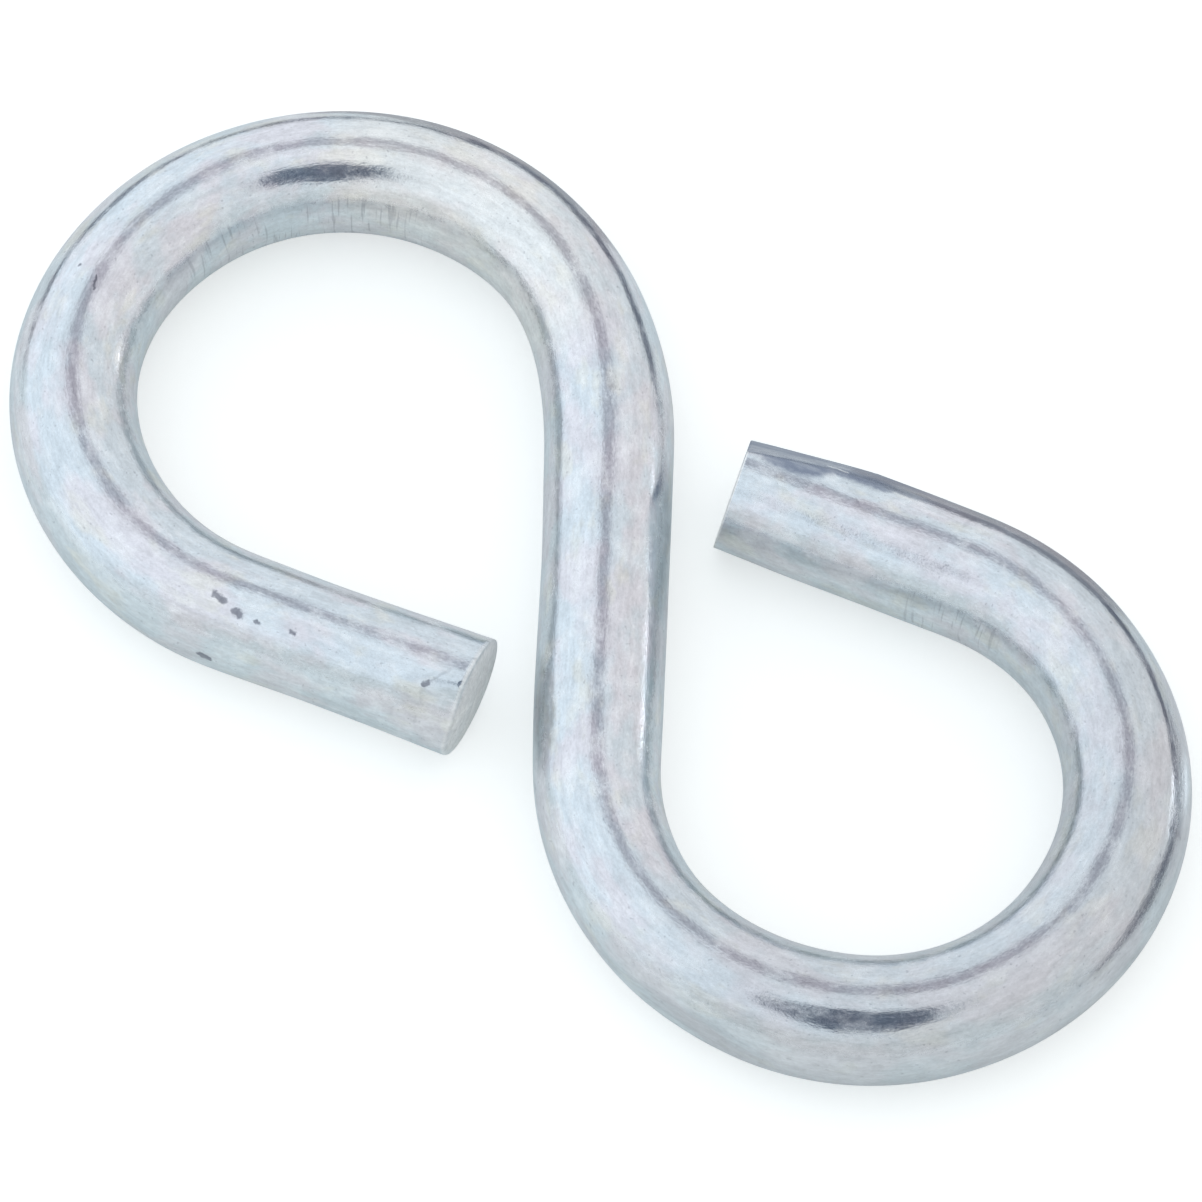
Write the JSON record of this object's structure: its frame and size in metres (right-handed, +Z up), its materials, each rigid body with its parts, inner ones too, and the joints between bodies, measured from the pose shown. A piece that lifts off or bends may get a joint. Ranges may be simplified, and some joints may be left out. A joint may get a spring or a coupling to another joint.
{
  "type": "s hook",
  "caption": "Closed zinc-plated S hook bent from round steel wire, with two round eyes that join a chain, ring or line to another.",
  "frame": {"origin": "on the surface that the hook lies on, midway along its length, under the line through the middles of the two loops", "axes": "+X along the line of pull, from the upper loop to the lower loop, +Y across the hook in its own plane, +Z up from the surface"},
  "size_m": [0.0648, 0.0318, 0.0061],
  "materials": {
    "zinc_plate": "satin zinc plate with faint streaks along the wire and small pits"
  },
  "bodies": {
    "root": {"hook": "zinc_plate"}
  },
  "joints": []
}
